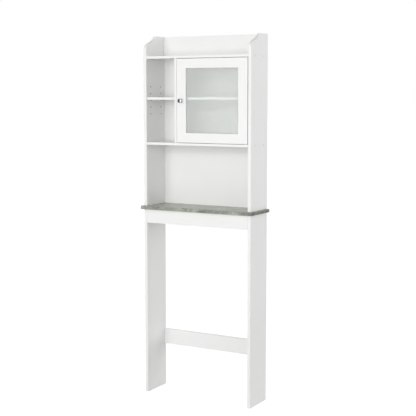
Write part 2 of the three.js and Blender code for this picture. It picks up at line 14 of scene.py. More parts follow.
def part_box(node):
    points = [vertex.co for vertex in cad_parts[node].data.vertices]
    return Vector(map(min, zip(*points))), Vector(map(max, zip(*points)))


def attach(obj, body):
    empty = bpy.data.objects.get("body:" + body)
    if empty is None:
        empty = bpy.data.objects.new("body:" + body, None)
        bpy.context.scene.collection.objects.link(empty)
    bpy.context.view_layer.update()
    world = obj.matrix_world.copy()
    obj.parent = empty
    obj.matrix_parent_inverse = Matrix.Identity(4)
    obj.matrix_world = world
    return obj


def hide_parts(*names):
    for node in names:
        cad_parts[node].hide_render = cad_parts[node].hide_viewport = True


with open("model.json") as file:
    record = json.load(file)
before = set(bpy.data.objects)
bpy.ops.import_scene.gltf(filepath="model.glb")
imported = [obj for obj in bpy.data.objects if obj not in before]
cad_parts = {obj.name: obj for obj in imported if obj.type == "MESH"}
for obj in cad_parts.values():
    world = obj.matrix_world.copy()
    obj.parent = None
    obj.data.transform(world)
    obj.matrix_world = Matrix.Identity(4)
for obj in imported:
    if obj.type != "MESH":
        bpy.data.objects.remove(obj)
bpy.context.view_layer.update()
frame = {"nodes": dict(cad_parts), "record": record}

# ------------------------------------------------------------------ sizes

MM = 0.001

EDGE_RADIUS = 1.2 * MM  # painted edges
EDGE_STEPS = 3
SMOOTH_ANGLE = 32  # degrees; an edge that turns more than this stays sharp
ROUND_STEPS = 48  # sides of a turned piece
FASTENER_STEPS = 32  # sides of a screw, pin or cap
HOLE_STEPS = 24  # sides of a drilled hole
OVERSHOOT = 1 * MM  # how far a cutter reaches past the face that it cuts

OGEE_DEPTH = 87 * MM  # from the front edge of a side panel to where the curve meets the top
OGEE_HEIGHT = 65 * MM
OGEE_STEPS = 16

BACK_REBATE_WIDTH = 5 * MM
BACK_REBATE_DEPTH = 3.5 * MM

PIN_PITCH = 32 * MM
PIN_ROWS = (-2, -1, 0, 1, 2)  # steps above and below the row that carries the shelves
PIN_HOLE_RADIUS = 2.8 * MM
PIN_HOLE_DEPTH = 9 * MM
PIN_HOLE_RIM = 0.35 * MM

STILE_WIDTH = 48 * MM
RAIL_WIDTH = 45 * MM
DOOR_LIP = 9 * MM  # frame in front of the pane
DOOR_REBATE = 8 * MM
DOOR_MOULDING = 2.8 * MM  # round on the front edge of the opening

CAP_INSET = 41 * MM  # from a side panel's front and rear edges to its screw caps

SCREWS = {  # shank radius, head radius and head height
    "knob_screw": (2 * MM, 4 * MM, 2 * MM),
    "catch_screw_lower": (1.5 * MM, 2.85 * MM, 1.9 * MM),
    "catch_screw_upper": (1.5 * MM, 2.85 * MM, 1.9 * MM),
    "strike_screw": (1.5 * MM, 2.6 * MM, 0.5 * MM),
}

KNOB_BORE_DEPTH = 12 * MM

COUNTERTOP_CORNER = 4 * MM
COUNTERTOP_EDGE = 2.4 * MM

# The radius of a board's bore for each kind of fastener, by the start of the node's name.
FASTENER_BORES = {
    "countertop_dowel": 4.3 * MM,
    "apron_dowel": 4.3 * MM,
    "guard_dowel": 2.8 * MM,
    "cam_bolt": 3.3 * MM,
    "cam_disc": 7.8 * MM,
    "hinge_pin": 2.8 * MM,
    "hinge_bush": 4.3 * MM,
    "knob_screw": 2.3 * MM,
    "catch_screw": 1.8 * MM,
    "strike_screw": 1.8 * MM,
    "glide": 1.8 * MM,
}
BORE_CLEARANCE = 0.3 * MM

SIDES = {"left": -1, "right": 1}

# ------------------------------------------------------------------ light and camera

ROOM_LIGHT = {  # light from a direction: a factor by its X times a factor by its Z
    "X": [(-0.92, 0.1), (-0.56, 1.0)],
    "Z": [(0.0, 1.32), (0.35, 1.17), (0.8, 0.54)],
}
SOFTBOXES = {  # place, aim, width, height, power in watts
    "key_softbox": ((-0.2, -3.2, 1.55), (0, 0, 1.2), 2.0, 1.5, 46),
    "side_softbox": ((2.6, 1.2, 1.6), (0, 0, 1.1), 1.4, 2.4, 18),
}
GROUND_SHADE = (0.65, 0.65, 0.65)  # of the layer that bounces the light
FLOOR_GLOW = 0.5  # own light of the white layer, which only the camera sees
CARDS = {  # one end and the other on the floor, two shades, and the card's own light
    "left_card": ((-1.35, -0.2), (0.12, -1.5), (0.05, 0.042, 0.035), (0.08, 0.07, 0.06), 0),
    "light_card": ((0.12, -1.5), (0.74, -1.06), (0.8, 0.8, 0.8), (0.85, 0.85, 0.85), 1.8),
    "right_card": ((0.74, -1.06), (1.6, -0.12), (0.1, 0.08, 0.065), (0.14, 0.115, 0.095), 0),
}
CARD_HEIGHT = 5.0

CAMERA_PLACE = (2.353, -4.091, 1.434)
CAMERA_PITCH = -5.91  # degrees above the horizon
CAMERA_TURN = 29.66  # degrees to the left of +Y
CAMERA_LENS = 87.4  # mm on a 36 mm sensor
CAMERA_SHIFT = -0.019

# ------------------------------------------------------------------ the frame's names

BODY_OF = {
    node: body
    for body, nodes in frame["record"]["behaviour"]["bodies"].items()
    for node in nodes
}
SLOT_OF = {row["node"]: row["material_slot"] for row in frame["record"]["subparts"]}

# ------------------------------------------------------------------ shader helpers


def set_stops(node, stops):
    """Gives a colour ramp node its (position, colour) stops."""
    elements = node.color_ramp.elements
    while len(elements) < len(stops):
        elements.new(0.5)
    for element, (position, colour) in zip(elements, stops):
        element.position = position
        element.color = (*colour, 1)


class Shader:
    """A material with a Principled surface, and short calls to add nodes to it."""

    def __init__(self, name):
        self.material = bpy.data.materials.new(name)
        self.material.use_nodes = True
        self.tree = self.material.node_tree
        self.surface = self.tree.nodes["Principled BSDF"]
        self.place = self.add("ShaderNodeTexCoord").outputs["Object"]

    def add(self, kind, **settings):
        node = self.tree.nodes.new(kind)
        for name, value in settings.items():
            setattr(node, name, value)
        return node

    def link(self, source, socket):
        self.tree.links.new(source, socket)

    def set(self, **values):
        """Sets the surface's own sockets; an underscore stands for a space."""
        for name, value in values.items():
            self.surface.inputs[name.replace("_", " ")].default_value = value

    def noise(self, scale, detail=3.0, roughness=0.5, distortion=0.0, stretch=(1, 1, 1)):
        mapping = self.add("ShaderNodeMapping")
        mapping.inputs["Scale"].default_value = stretch
        self.link(self.place, mapping.inputs["Vector"])
        node = self.add("ShaderNodeTexNoise")
        node.inputs["Scale"].default_value = scale
        node.inputs["Detail"].default_value = detail
        node.inputs["Roughness"].default_value = roughness
        node.inputs["Distortion"].default_value = distortion
        self.link(mapping.outputs["Vector"], node.inputs["Vector"])
        return node.outputs["Fac"]

    def ramp(self, value, stops):
        """A colour ramp through (position, colour) stops."""
        node = self.add("ShaderNodeValToRGB")
        set_stops(node, stops)
        self.link(value, node.inputs["Fac"])
        return node.outputs["Color"]

    def span(self, value, low, high, out_low, out_high):
        node = self.add("ShaderNodeMapRange")
        for name, number in zip(
            ("From Min", "From Max", "To Min", "To Max"), (low, high, out_low, out_high)
        ):
            node.inputs[name].default_value = number
        self.link(value, node.inputs["Value"])
        return node.outputs["Result"]

    def blend(self, factor, first, second):
        """Mixes two colours; either may be a socket or a plain colour."""
        node = self.add("ShaderNodeMix", data_type="RGBA")
        self.link(factor, node.inputs["Factor"])
        for socket, colour in ((node.inputs[6], first), (node.inputs[7], second)):
            if isinstance(colour, tuple):
                socket.default_value = (*colour, 1)
            else:
                self.link(colour, socket)
        return node.outputs[2]

    def bump(self, height, depth, strength=1.0, below=None):
        """A bump of a real depth in metres, laid over another bump's normal."""
        node = self.add("ShaderNodeBump")
        node.inputs["Strength"].default_value = strength
        node.inputs["Distance"].default_value = depth
        self.link(height, node.inputs["Height"])
        if below is not None:
            self.link(below, node.inputs["Normal"])
        return node.outputs["Normal"]

    def finish(self, colour=None, roughness=None, normal=None):
        for name, source in (
            ("Base Color", colour),
            ("Roughness", roughness),
            ("Normal", normal),
        ):
            if source is not None:
                self.link(source, self.surface.inputs[name])
        return self.material


# ------------------------------------------------------------------ materials


def white_paint():
    """Sprayed satin paint: an even white with faint clouds and a fine orange peel."""
    shader = Shader("white_paint")
    clouds = shader.noise(5, detail=4)
    colour = shader.blend(clouds, (0.86, 0.86, 0.85), (0.9, 0.9, 0.892))
    peel = shader.noise(620, detail=2)
    dust = shader.noise(2600, detail=1)
    normal = shader.bump(peel, 0.03 * MM)
    normal = shader.bump(dust, 0.008 * MM, below=normal)
    roughness = shader.span(shader.noise(38, detail=5), 0.3, 0.7, 0.36, 0.47)
    shader.set(Specular_IOR_Level=0.45)
    return shader.finish(colour, roughness, normal)


def paint_edge():
    """The same paint where it thins over a rounded edge, with small rubbed spots."""
    shader = Shader("paint_edge")
    rubbed = shader.span(shader.noise(240, detail=6, roughness=0.7), 0.68, 0.74, 0.0, 0.5)
    worn = shader.blend(rubbed, (0.87, 0.868, 0.855), (0.52, 0.43, 0.31))
    roughness = shader.span(shader.noise(90, detail=4), 0.3, 0.7, 0.4, 0.55)
    normal = shader.bump(shader.noise(620, detail=2), 0.03 * MM)
    return shader.finish(worn, roughness, normal)


def raw_board():
    """Bare fibreboard inside a drilled hole: brown, matt and fibrous."""
    shader = Shader("raw_board")
    fibre = shader.noise(900, detail=6, roughness=0.7)
    colour = shader.blend(fibre, (0.2, 0.135, 0.08), (0.34, 0.25, 0.16))
    normal = shader.bump(fibre, 0.1 * MM)
    roughness = shader.span(fibre, 0.3, 0.7, 0.8, 0.95)
    return shader.finish(colour, roughness, normal)


def hardboard():
    """Thin white-faced hardboard: a flat film with the faint tooth of pressed fibre."""
    shader = Shader("back_hardboard")
    clouds = shader.noise(7, detail=5)
    colour = shader.blend(clouds, (0.83, 0.83, 0.82), (0.88, 0.88, 0.872))
    fibre = shader.noise(420, detail=6, roughness=0.7, stretch=(1, 1, 0.35))
    normal = shader.bump(fibre, 0.06 * MM)
    roughness = shader.span(shader.noise(60, detail=4), 0.3, 0.7, 0.5, 0.62)
    return shader.finish(colour, roughness, normal)


def stone(name, shade):
    """Grey-green stone-look laminate: cloudy ground, pale veins, light and dark flecks.

    shade darkens all of its colours."""
    shader = Shader(name)

    def grey(level):
        """The stone's grey-green at a level of brightness."""
        return tuple(level * shade * part for part in (0.945, 1.0, 0.85))

    ground = shader.ramp(
        shader.noise(26, detail=9, roughness=0.62, distortion=0.7, stretch=(0.7, 1, 1)),
        [(0.3, grey(0.17)), (0.45, grey(0.25)), (0.57, grey(0.34)), (0.7, grey(0.47))],
    )
    ridge = shader.noise(11, detail=7, roughness=0.6, distortion=1.4, stretch=(0.6, 1, 1))
    vein = shader.add("ShaderNodeMath", operation="SUBTRACT")
    shader.link(ridge, vein.inputs[0])
    vein.inputs[1].default_value = 0.5
    distance = shader.add("ShaderNodeMath", operation="ABSOLUTE")
    shader.link(vein.outputs[0], distance.inputs[0])
    veins = shader.span(distance.outputs[0], 0.0, 0.022, 0.6, 0.0)
    veined = shader.blend(veins, ground, grey(0.62))
    flecks = shader.span(shader.noise(330, detail=2), 0.64, 0.7, 0.0, 0.65)
    flecked = shader.blend(flecks, veined, grey(0.68))
    pits = shader.span(shader.noise(260, detail=3, distortion=0.4), 0.32, 0.38, 0.65, 0.0)
    colour = shader.blend(pits, flecked, grey(0.08))
    roughness = shader.span(shader.noise(120, detail=5), 0.3, 0.7, 0.28, 0.42)
    normal = shader.bump(shader.noise(900, detail=3), 0.02 * MM)
    shader.set(Specular_IOR_Level=0.5, Coat_Weight=0.3, Coat_Roughness=0.2)
    return shader.finish(colour, roughness, normal)


def frosted_glass():
    """Acid-etched pane: clear through its thickness, finely rough on its face."""
    shader = Shader("frosted_glass")
    colour = shader.blend(shader.noise(9, detail=3), (0.965, 0.986, 0.967), (0.978, 0.994, 0.978))
    etch = shader.bump(shader.noise(1800, detail=4, roughness=0.7), 0.02 * MM)
    roughness = shader.span(shader.noise(45, detail=5), 0.3, 0.7, 0.78, 0.88)
    shader.set(IOR=1.1, Transmission_Weight=0.74)
    return shader.finish(colour, roughness, etch)


def metal(name, first, second, rough_low, rough_high, grain, depth):
    """A metal with faint clouds in its colour and a fine grain."""
    shader = Shader(name)
    colour = shader.blend(shader.noise(180, detail=4), first, second)
    roughness = shader.span(shader.noise(grain, detail=5), 0.3, 0.7, rough_low, rough_high)
    normal = shader.bump(shader.noise(grain * 3, detail=3), depth)
    shader.set(Metallic=1.0)
    return shader.finish(colour, roughness, normal)


def plastic(name, first, second, rough_low, rough_high, grain=900):
    """A moulded plastic with a fine spark-eroded texture."""
    shader = Shader(name)
    colour = shader.blend(shader.noise(60, detail=3), first, second)
    roughness = shader.span(shader.noise(150, detail=4), 0.3, 0.7, rough_low, rough_high)
    normal = shader.bump(shader.noise(grain, detail=3), 0.02 * MM)
    shader.set(IOR=1.5)
    return shader.finish(colour, roughness, normal)


def beech():
    """Bare beech with short dark flecks along the grain."""
    shader = Shader("beech_dowel")
    grain = shader.noise(300, detail=6, roughness=0.65, stretch=(1, 1, 0.15))
    colour = shader.ramp(
        grain, [(0.3, (0.5, 0.32, 0.17)), (0.55, (0.68, 0.48, 0.28)), (0.8, (0.76, 0.57, 0.36))]
    )
    normal = shader.bump(grain, 0.08 * MM)
    roughness = shader.span(grain, 0.3, 0.7, 0.6, 0.75)
    return shader.finish(colour, roughness, normal)


MATERIALS = {
    "white_paint": white_paint(),
    "back_hardboard": hardboard(),
    "countertop_stone": stone("countertop_stone", 1.0),
    "frosted_glass": frosted_glass(),
    "knob_chrome": metal(
        "knob_chrome", (0.78, 0.78, 0.78), (0.84, 0.84, 0.85), 0.06, 0.12, 260, 0.003 * MM
    ),
    "zinc_fittings": metal(
        "zinc_fittings", (0.58, 0.58, 0.57), (0.7, 0.7, 0.69), 0.3, 0.45, 700, 0.02 * MM
    ),
    "steel_fittings": metal(
        "steel_fittings", (0.6, 0.6, 0.6), (0.72, 0.72, 0.71), 0.22, 0.34, 900, 0.01 * MM
    ),
    "nylon": plastic("nylon", (0.78, 0.78, 0.75), (0.84, 0.84, 0.81), 0.42, 0.55),
    "glazing_vinyl": plastic("glazing_vinyl", (0.8, 0.8, 0.79), (0.85, 0.85, 0.84), 0.45, 0.55),
    "catch_plastic": plastic("catch_plastic", (0.76, 0.75, 0.72), (0.82, 0.81, 0.78), 0.4, 0.5),
    "beech_dowel": beech(),
}
PAINT_EDGE = paint_edge()
RAW_BOARD = raw_board()
# painted shade: the stone at 0.6 of its brightness, for the countertop's ends
STONE_PAINTED_SHADE = stone("countertop_end_painted_shade", 0.6)
MAGNET = plastic("magnet_ferrite", (0.035, 0.035, 0.036), (0.06, 0.06, 0.062), 0.5, 0.65)

# ------------------------------------------------------------------ mesh helpers


def make_object(name, mesh):
    """Puts a mesh into the scene."""
    piece = bpy.data.objects.new(name, mesh)
    bpy.context.scene.collection.objects.link(piece)
    return piece


def from_bmesh(name, bm):
    """Turns a bmesh into an object with its faces pointing out."""
    bmesh.ops.recalc_face_normals(bm, faces=bm.faces)
    mesh = bpy.data.meshes.new(name)
    bm.to_mesh(mesh)
    bm.free()
    return make_object(name, mesh)


def apply_modifiers(piece):
    """Makes what a piece's modifiers show its own mesh."""
    graph = bpy.context.evaluated_depsgraph_get()
    graph.update()
    mesh = bpy.data.meshes.new_from_object(piece.evaluated_get(graph))
    piece.modifiers.clear()
    old = piece.data
    piece.data = mesh
    bpy.data.meshes.remove(old)


def shade(piece, angle=SMOOTH_ANGLE):
    """Smooth on rounds and flat on faces, with the flat faces' own normals kept."""
    mesh = piece.data
    mesh.shade_smooth()
    mesh.set_sharp_from_angle(angle=math.radians(angle))
    weighted = piece.modifiers.new("weighted", "WEIGHTED_NORMAL")
    weighted.keep_sharp = True
    weighted.weight = 100
    apply_modifiers(piece)


def join(name, parts):
    """One object from several, which are used up."""
    bm = bmesh.new()
    for part in parts:
        bm.from_mesh(part.data)
        discard(part)
    mesh = bpy.data.meshes.new(name)
    bm.to_mesh(mesh)
    bm.free()
    return make_object(name, mesh)


def discard(piece):
    """Removes a helper object together with its mesh."""
    mesh = piece.data
    bpy.data.objects.remove(piece)
    if mesh.users == 0:
        bpy.data.meshes.remove(mesh)


def subtract(piece, cutter, crossing=False):
    """Cuts one closed mesh out of a piece; crossing says that its parts overlap."""
    boolean = piece.modifiers.new("cut", "BOOLEAN")
    boolean.operation = "DIFFERENCE"
    boolean.solver = "EXACT"
    boolean.use_self = crossing
    boolean.object = cutter
    apply_modifiers(piece)
    discard(cutter)


def cut(piece, tools, inside=0):
    """Cuts the tools out of a piece. The tools don't touch each other.

    The cut's faces take the piece's material slot with the number inside."""
    tools = list(tools)
    if not tools:
        return
    cutter = join("cutter", tools)
    for polygon in cutter.data.polygons:
        polygon.material_index = inside
    subtract(piece, cutter)


def box_mesh(low, high):
    """A bmesh box between two corners."""
    bm = bmesh.new()
    bmesh.ops.create_cube(bm, size=1)
    bmesh.ops.scale(bm, vec=Vector(high) - Vector(low), verts=bm.verts)
    bmesh.ops.translate(bm, vec=(Vector(high) + Vector(low)) / 2, verts=bm.verts)
    return bm


def round_edges(bm, edges, radius, steps):
    """Rounds edges; the rounds go in the second material slot."""
    bmesh.ops.bevel(
        bm,
        geom=edges,
        offset=radius,
        offset_type="OFFSET",
        segments=steps,
        profile=0.5,
        affect="EDGES",
        material=1,
    )


def rounded_box(name, low, high, radius=EDGE_RADIUS, steps=EDGE_STEPS):
    bm = box_mesh(low, high)
    round_edges(bm, bm.edges[:], radius, steps)
    return from_bmesh(name, bm)


def plain_box(name, low, high):
    """A sharp-edged box, for cutting."""
    return from_bmesh(name, box_mesh(low, high))


def turned(name, profile, axis, place, steps=ROUND_STEPS):
    """A body of revolution from (radius, height) points about axis, from place.

    The profile either starts and ends on the axis or ends where it starts."""
    closed = profile[0] == profile[-1]
    points = profile[:-1] if closed else profile
    bm = bmesh.new()
    rings = []
    for radius, height in points:
        if radius == 0:
            rings.append([bm.verts.new((0, 0, height))] * steps)
            continue
        ring = []
        for step in range(steps):
            turn = 2 * math.pi * step / steps
            ring.append(bm.verts.new((radius * math.cos(turn), radius * math.sin(turn), height)))
        rings.append(ring)
    pairs = list(zip(rings, rings[1:] + rings[:1])) if closed else list(zip(rings, rings[1:]))
    for first, second in pairs:
        for step in range(steps):
            after = (step + 1) % steps
            corners = [first[step], first[after], second[after], second[step]]
            face = list(dict.fromkeys(corners))
            if len(face) > 2:
                bm.faces.new(face)
    turn = Vector((0, 0, 1)).rotation_difference(Vector(axis)).to_matrix().to_4x4()
    bmesh.ops.transform(bm, matrix=Matrix.Translation(Vector(place)) @ turn, verts=bm.verts)
    return from_bmesh(name, bm)


def rod(name, radius, length, axis, place, steps=ROUND_STEPS):
    """A plain cylinder that runs along axis from place, for cutting."""
    profile = [(0, 0), (radius, 0), (radius, length), (0, length)]
    return turned(name, profile, axis, place, steps)


def arc(centre, radius, start, end, steps):
    """Points on a circle from one angle to another, in degrees, both ends included."""
    for step in range(steps + 1):
        turn = math.radians(start + (end - start) * step / steps)
        yield (centre[0] + radius * math.cos(turn), centre[1] + radius * math.sin(turn))


def bezier(points, steps):
    """Points along a cubic Bezier curve, without its first one."""
    a, b, c, d = (Vector(point) for point in points)
    for step in range(1, steps + 1):
        t = step / steps
        s = 1 - t
        point = s**3 * a + 3 * s * s * t * b + 3 * s * t * t * c + t**3 * d
        yield tuple(point)


def extruded(name, outline, place, low, high, radius, steps):
    """Extrudes an outline of 2-D points from low to high and rounds both its rims.

    place turns a 2-D point and a height into a point in space."""
    bm = bmesh.new()
    bottom = [bm.verts.new(place(point, low)) for point in outline]
    top = [bm.verts.new(place(point, high)) for point in outline]
    bm.faces.new(bottom)
    bm.faces.new(top)
    count = len(outline)
    for index in range(count):
        after = (index + 1) % count
        bm.faces.new([bottom[index], bottom[after], top[after], top[index]])
    bm.edges.ensure_lookup_table()
    caps = set(bottom), set(top)
    rims = [edge for edge in bm.edges if any(set(edge.verts) <= cap for cap in caps)]
    bmesh.ops.recalc_face_normals(bm, faces=bm.faces)
    round_edges(bm, rims, radius, steps)
    return from_bmesh(name, bm)


def swept_frame(name, profile, outer_low, outer_high, inner_low, inner_high):
    """A four-sided frame in the XZ plane with mitred corners.

    Each profile point is (edge, offset, y): offset runs inwards from the outer edge or
    outwards from the inner edge."""
    bm = bmesh.new()
    rings = []
    for right, upper in ((0, 0), (1, 0), (1, 1), (0, 1)):
        inwards = (1 - 2 * right, 1 - 2 * upper)
        outer = ((outer_low, outer_high)[right].x, (outer_low, outer_high)[upper].z)
        inner = ((inner_low, inner_high)[right].x, (inner_low, inner_high)[upper].z)
        ring = []
        for edge, offset, y in profile:
            if edge == "outer":
                corner = (outer[0] + inwards[0] * offset, outer[1] + inwards[1] * offset)
            else:
                corner = (inner[0] - inwards[0] * offset, inner[1] - inwards[1] * offset)
            ring.append(bm.verts.new((corner[0], y, corner[1])))
        rings.append(ring)
    count = len(profile)
    for ring, following in zip(rings, rings[1:] + rings[:1]):
        for index in range(count):
            after = (index + 1) % count
            bm.faces.new([ring[index], ring[after], following[after], following[index]])
    return from_bmesh(name, bm)


# ------------------------------------------------------------------ bores for fasteners


def odd_axis(low, high):
    """The axis of a round piece: the one along which its box differs from the other two."""
    size = high - low
    spread = [abs(2 * size[i] - size[(i + 1) % 3] - size[(i + 2) % 3]) for i in range(3)]
    return spread.index(max(spread))


def boxes_meet(first, second):
    """Whether two (low, high) boxes overlap."""
    return all(
        first[0][i] < second[1][i] and second[0][i] < first[1][i] for i in range(3)
    )


def fastener_bores(node):
    """A bore through the board for every dowel, bolt, disc, pin and screw that meets it."""
    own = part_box(node)
    for other in frame["nodes"]:
        kind = next((start for start in FASTENER_BORES if other.startswith(start)), None)
        if kind is None or other == node:
            continue
        low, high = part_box(other)
        if not boxes_meet(own, (low, high)):
            continue
        axis = odd_axis(low, high)
        direction = Vector([float(i == axis) for i in range(3)])
        start = (low + high) / 2
        start[axis] = low[axis] - BORE_CLEARANCE
        length = high[axis] - low[axis] + 2 * BORE_CLEARANCE
        yield rod("bore", FASTENER_BORES[kind], length, direction, start)


def pin_places():
    """The y of both columns of shelf-pin holes and the z of their five rows."""
    columns = []
    for column in ("front", "rear"):
        low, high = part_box(f"shelf_pin_left_outer_{column}")
        columns.append((low.y + high.y) / 2)
        middle = (low.z + high.z) / 2
    return columns, [middle + row * PIN_PITCH for row in PIN_ROWS]


def pin_hole(face_x, direction, depth, y, z):
    """A shelf-pin hole in a face that looks along direction, with a softened rim."""
    rim = PIN_HOLE_RADIUS + PIN_HOLE_RIM
    profile = [
        (0, -depth),
        (PIN_HOLE_RADIUS, -depth),
        (PIN_HOLE_RADIUS, -PIN_HOLE_RIM),
        (rim, 0),
        (rim, OVERSHOOT),
        (0, OVERSHOOT),
    ]
    return turned("pin_hole", profile, (direction, 0, 0), (face_x, y, z), HOLE_STEPS)


def pin_holes(face_x, direction, depth):
    """Both columns of shelf-pin holes in one face."""
    columns, rows = pin_places()
    return [pin_hole(face_x, direction, depth, y, z) for y in columns for z in rows]


# ------------------------------------------------------------------ pieces


def stand_in(piece, *nodes, materials=None, angle=SMOOTH_ANGLE):
    """Finishes a piece and puts it in place of its CAD nodes, on the first one's body."""
    node = nodes[0]
    for material in materials or [MATERIALS[SLOT_OF[node]]]:
        piece.data.materials.append(material)
    shade(piece, angle)
    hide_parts(*nodes)
    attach(piece, BODY_OF[node])


def painted(piece, node, bores=()):
    """Finishes a painted board. Its bores, drilled after painting, show raw board."""
    cut(piece, [*bores, *fastener_bores(node)], inside=2)
    stand_in(piece, node, materials=[MATERIALS["white_paint"], PAINT_EDGE, RAW_BOARD])


def plain_boards():
    """The boards that are boxes with round edges and bores for their fittings."""
    for node in (
        "top_shelf",
        "middle_shelf",
        "guard_board",
        "shelf_left",
        "shelf_right",
        "leg_panel_left",
        "leg_panel_right",
        "apron",
        "crossbar",
    ):
        low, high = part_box(node)
        painted(rounded_box(f"{node}_painted", low, high), node)


def divider():
    """The upright board between cubbies and cupboard, with pin holes right through it."""
    low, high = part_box("divider")
    board = rounded_box("divider_painted", low, high)
    columns, rows = pin_places()
    start = low.x - OVERSHOOT
    through = high.x - low.x + 2 * OVERSHOOT
    holes = [
        rod("pin_hole", PIN_HOLE_RADIUS, through, (1, 0, 0), (start, y, z), HOLE_STEPS)
        for y in columns
        for z in rows
    ]
    painted(board, "divider", holes)


def ogee_outline(low, high):
    """The (y, z) outline of an upper side panel."""
    foot = high.z - OGEE_HEIGHT
    crossing = (low.y + 0.5 * OGEE_DEPTH, foot + 0.55 * OGEE_HEIGHT)
    shoulder = (low.y + OGEE_DEPTH, high.z)
    outline = [(low.y, low.z), (high.y, low.z), (high.y, high.z), shoulder]
    outline += bezier(
        [
            shoulder,
            (low.y + 0.87 * OGEE_DEPTH, high.z - 0.23 * OGEE_HEIGHT),
            (low.y + 0.69 * OGEE_DEPTH, high.z - 0.37 * OGEE_HEIGHT),
            crossing,
        ],
        OGEE_STEPS,
    )
    outline += bezier(
        [
            crossing,
            (low.y + 0.2 * OGEE_DEPTH, foot + 0.42 * OGEE_HEIGHT),
            (low.y, foot + 0.27 * OGEE_HEIGHT),
            (low.y, foot),
        ],
        OGEE_STEPS,
    )
    return outline


def side_panels():
    """Each upper side: ogee corner, rebate for the back, and the rows of pin holes."""
    for side, sign in SIDES.items():
        node = f"side_panel_{side}"
        low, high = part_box(node)
        panel = extruded(
            f"{node}_painted",
            ogee_outline(low, high),
            lambda point, x: (x, point[0], point[1]),
            low.x,
            high.x,
            EDGE_RADIUS,
            EDGE_STEPS,
        )
        inner_x = high.x if sign < 0 else low.x
        rebate_end = inner_x + sign * BACK_REBATE_WIDTH
        beyond = 10 * MM
        rebate_start = inner_x - sign * beyond
        shelf_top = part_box("top_shelf")[1].z
        rebate = plain_box(
            "rebate",
            (min(rebate_start, rebate_end), high.y - BACK_REBATE_DEPTH, low.z - beyond),
            (max(rebate_start, rebate_end), high.y + beyond, shelf_top),
        )
        cut(panel, [rebate])
        painted(panel, node, pin_holes(inner_x, -sign, PIN_HOLE_DEPTH))


def back_panel():
    """The thin sheet in the side panels' rebates."""
    low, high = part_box("back_panel")
    stand_in(rounded_box("back_panel_sheet", low, high, 0.3 * MM, 2), "back_panel")


def countertop():
    """A slab with round front corners and rims, and painted shade on each end: a darker copy of
    the stone.
    """
    low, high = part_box("countertop")
    corner = COUNTERTOP_CORNER
    outline = [
        *arc((low.x + corner, low.y + corner), corner, 180, 270, 6),
        *arc((high.x - corner, low.y + corner), corner, 270, 360, 6),
        (high.x, high.y),
        (low.x, high.y),
    ]
    slab = extruded(
        "countertop_slab",
        outline,
        lambda point, z: (point[0], point[1], z),
        low.z,
        high.z,
        COUNTERTOP_EDGE,
        4,
    )
    cut(slab, fastener_bores("countertop"))
    # the ends take the darker stone, which is painted shade
    for polygon in slab.data.polygons:
        polygon.material_index = int(abs(polygon.normal.x) > 0.75)
    stand_in(slab, "countertop", materials=[MATERIALS["countertop_stone"], STONE_PAINTED_SHADE])


def door():
    """The door's frame in one sweep, bored for its pins and its screws."""
    low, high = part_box("door_frame")
    inner_low = Vector((low.x + STILE_WIDTH, low.y, low.z + RAIL_WIDTH))
    inner_high = Vector((high.x - STILE_WIDTH, high.y, high.z - RAIL_WIDTH))
    radius = EDGE_RADIUS
    front, back = low.y, high.y
    soft = 0.5 * MM
    profile = [("outer", x, y) for x, y in arc((radius, front + radius), radius, 270, 180, 4)]
    profile += [("outer", x, y) for x, y in arc((radius, back - radius), radius, 180, 90, 4)]
    profile += [
        ("inner", DOOR_REBATE + soft, back),
        ("inner", DOOR_REBATE, back - soft),
        ("inner", DOOR_REBATE, front + DOOR_LIP),
        ("inner", 0, front + DOOR_LIP),
    ]
    profile += [
        ("inner", x, y)
        for x, y in arc(
            (DOOR_MOULDING, front + DOOR_MOULDING), DOOR_MOULDING, 180, 270, 5
        )
    ]
    panel = swept_frame("door_frame_painted", profile, low, high, inner_low, inner_high)
    painted(panel, "door_frame")


def pane():
    """The glass, with its sharp edges ground off."""
    low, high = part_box("glass_pane")
    stand_in(rounded_box("glass_pane_frosted", low, high, 0.6 * MM, 2), "glass_pane")


def glazing():
    """A soft moulded frame with a domed back that holds the pane in its rebate."""
    low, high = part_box("glazing_frame")
    width = high.x - (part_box("door_frame")[1].x - STILE_WIDTH)
    inner_low = Vector((low.x + width, low.y, low.z + width))
    inner_high = Vector((high.x - width, high.y, high.z - width))
    depth = high.y - low.y
    profile = [
        ("outer", 0, low.y),
        ("outer", 0, high.y - 0.5 * depth),
        ("outer", 0.1 * width, high.y - 0.2 * depth),
        ("outer", 0.3 * width, high.y),
        ("inner", 0.5 * width, high.y),
        ("inner", 0.2 * width, high.y - 0.25 * depth),
        ("inner", 0.04 * width, high.y - 0.6 * depth),
        ("inner", 0, low.y),
    ]
    frame_piece = swept_frame("glazing_frame_vinyl", profile, low, high, inner_low, inner_high)
    stand_in(frame_piece, "glazing_frame", angle=40)


# ------------------------------------------------------------------ door hardware


def round_node(node):
    """The middle, axis index, low end and length of a round CAD node."""
    low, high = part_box(node)
    axis = odd_axis(low, high)
    return (low + high) / 2, axis, low[axis], high[axis] - low[axis]


def knob():
    """A chrome mushroom knob: flat rosette, waist, and a head with a domed face."""
    low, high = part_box("door_knob")
    radius = (high.x - low.x) / 2
    reach = high.y - low.y
    bore = FASTENER_BORES["knob_screw"]
    rosette = 9.4 * MM
    rosette_top = (rosette - 0.4 * MM, 1.4 * MM)
    neck = (5.6 * MM, 9.2 * MM)
    widest = (radius, 14.5 * MM)
    profile = [
        (0, KNOB_BORE_DEPTH),
        (bore, KNOB_BORE_DEPTH),
        (bore, 0),
        (rosette - 0.5 * MM, 0),
        (rosette, 0.5 * MM),
        (rosette, 1 * MM),
        rosette_top,
    ]
    profile += bezier([rosette_top, (2.2 * MM, 2.2 * MM), (3.6 * MM, 6 * MM), neck], 14)
    profile += bezier([neck, (7.6 * MM, 11.2 * MM), (radius, 10.6 * MM), widest], 10)
    profile += bezier([widest, (radius, 17.6 * MM), (0.62 * radius, reach), (0, reach)], 14)
    middle = (low + high) / 2
    place = (middle.x, high.y, middle.z)
    stand_in(
        turned("door_knob_chrome", profile, (0, -1, 0), place, 72), "door_knob", angle=50
    )


